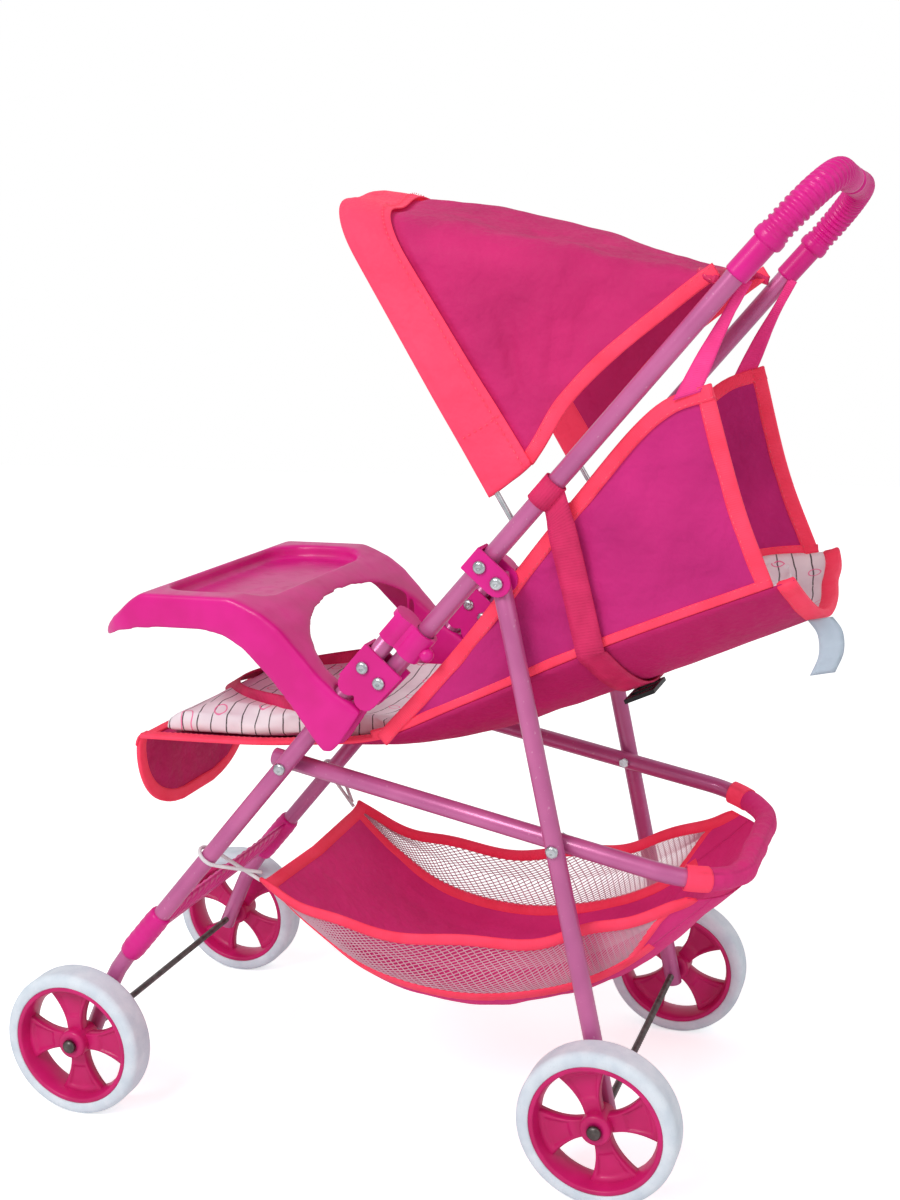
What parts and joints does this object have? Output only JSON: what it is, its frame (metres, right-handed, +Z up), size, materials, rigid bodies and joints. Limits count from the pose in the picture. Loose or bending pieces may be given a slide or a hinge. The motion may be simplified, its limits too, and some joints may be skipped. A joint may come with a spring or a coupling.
{
  "type": "doll stroller",
  "caption": "Folding doll stroller: a steel tube frame with a sling seat, moulded tray, canopy on a wire bow, slung basket and wheels with spokes.",
  "frame": {"origin": "on the floor, at the middle of the stroller's box", "axes": "+X to the stroller's left side, -Y the way it faces, +Y to the handle, +Z up"},
  "size_m": [0.2348, 0.4684, 0.5314],
  "materials": {
    "paint": "smooth pink powder coat, slightly glossy",
    "hot_pink_plastic": "glossy moulded plastic",
    "wheel_plastic": "semi-gloss moulded plastic",
    "tyre_foam": "matt white foam rubber",
    "steel": "zinc-plated steel",
    "cloth": "thin woven polyester with coral binding",
    "lining": "soft printed lining",
    "webbing": "ribbed polyester webbing",
    "elastic": "round braided elastic",
    "label": "plain satin tape, blank",
    "buckle": "black moulded plastic"
  },
  "bodies": {
    "handle_frame": {"handle_tube": "paint", "grip_left": "hot_pink_plastic", "grip_right": "hot_pink_plastic", "pivot_bracket_left": "hot_pink_plastic", "pivot_bracket_right": "hot_pink_plastic", "plate_rivet_left": "steel", "plate_rivet_right": "steel", "canopy": "cloth", "side_panel_left": "cloth", "side_panel_right": "cloth", "seat_bottom": "cloth", "seat_pad": "lining", "recline_strap": "webbing", "strap_buckle": "buckle", "hanging_strap_left": "webbing", "hanging_strap_right": "webbing", "lap_strap": "webbing", "care_tag": "label"},
    "front_frame": {"front_leg_left": "paint", "front_leg_right": "paint", "hinge_bracket_left": "hot_pink_plastic", "hinge_bracket_right": "hot_pink_plastic", "leg_rivet_left": "steel", "leg_rivet_right": "steel", "fold_pivot_rivet_left": "steel", "fold_pivot_rivet_right": "steel", "front_link_rivet_left": "steel", "front_link_rivet_right": "steel", "tray": "hot_pink_plastic", "footrest": "hot_pink_plastic", "front_axle": "steel", "front_flap": "cloth", "elastic_tie_left": "elastic", "elastic_tie_right": "elastic"},
    "rear_legs": {"rear_leg_left": "paint", "rear_leg_right": "paint", "rear_pivot_rivet_left": "steel", "rear_pivot_rivet_right": "steel", "rear_link_stud_left": "steel", "rear_link_stud_right": "steel", "rear_axle": "steel"},
    "lower_frame": {"lower_frame": "paint", "rear_link_nut_left": "steel", "rear_link_nut_right": "steel", "basket": "cloth"},
    "lock_left": {"lock_clip_left": "hot_pink_plastic"},
    "lock_right": {"lock_clip_right": "hot_pink_plastic"},
    "canopy_bow": {"canopy_bow": "steel"},
    "front_wheel_left": {"front_wheel_left": "wheel_plastic", "front_tyre_left": "tyre_foam"},
    "front_wheel_right": {"front_wheel_right": "wheel_plastic", "front_tyre_right": "tyre_foam"},
    "rear_wheel_left": {"rear_wheel_left": "wheel_plastic", "rear_tyre_left": "tyre_foam"},
    "rear_wheel_right": {"rear_wheel_right": "wheel_plastic", "rear_tyre_right": "tyre_foam"}
  },
  "joints": [
    {"name": "fold", "type": "hinge", "parent": "handle_frame", "child": "front_frame", "pos_m": [0, 0.00178, 0.27], "axis": [1, 0, 0], "range_deg": [0, 150], "deforming": ["seat_bottom", "seat_pad", "side_panel_left", "side_panel_right", "lap_strap", "recline_strap", "strap_buckle", "front_flap", "elastic_tie_left", "elastic_tie_right", "basket", "care_tag"]},
    {"name": "rear_legs_fold", "type": "hinge", "parent": "handle_frame", "child": "rear_legs", "pos_m": [0, 0.0676, 0.32663], "axis": [1, 0, 0], "range_deg": [0, 108]},
    {"name": "lower_frame_fold", "type": "hinge", "parent": "front_frame", "child": "lower_frame", "pos_m": [0, -0.05902, 0.21696], "axis": [1, 0, 0], "range_deg": [-94.2, 0]},
    {"name": "lock_slide_left", "type": "slide", "parent": "handle_frame", "child": "lock_left", "axis": [0, 0.6607, 0.7507], "range_m": [0, 0.022]},
    {"name": "lock_slide_right", "type": "slide", "parent": "handle_frame", "child": "lock_right", "axis": [0, 0.6607, 0.7507], "range_m": [0, 0.022]},
    {"name": "canopy_swing", "type": "hinge", "parent": "handle_frame", "child": "canopy_bow", "pos_m": [0, 0.07445, 0.35258], "axis": [-1, 0, 0], "range_deg": [0, 60], "deforming": ["canopy"]},
    {"name": "front_wheel_roll_left", "type": "hinge", "parent": "front_frame", "child": "front_wheel_left", "pos_m": [0.1045, -0.19072, 0.0435], "axis": [1, 0, 0], "continuous": true},
    {"name": "front_wheel_roll_right", "type": "hinge", "parent": "front_frame", "child": "front_wheel_right", "pos_m": [-0.1045, -0.19072, 0.0435], "axis": [1, 0, 0], "continuous": true},
    {"name": "rear_wheel_roll_left", "type": "hinge", "parent": "rear_legs", "child": "rear_wheel_left", "pos_m": [0.1045, 0.12378, 0.0435], "axis": [1, 0, 0], "continuous": true},
    {"name": "rear_wheel_roll_right", "type": "hinge", "parent": "rear_legs", "child": "rear_wheel_right", "pos_m": [-0.1045, 0.12378, 0.0435], "axis": [1, 0, 0], "continuous": true}
  ],
  "couplings": [
    {"joint": "rear_legs_fold", "follows": "fold", "ratio": 0.718},
    {"joint": "lower_frame_fold", "follows": "fold", "ratio": -0.627}
  ]
}
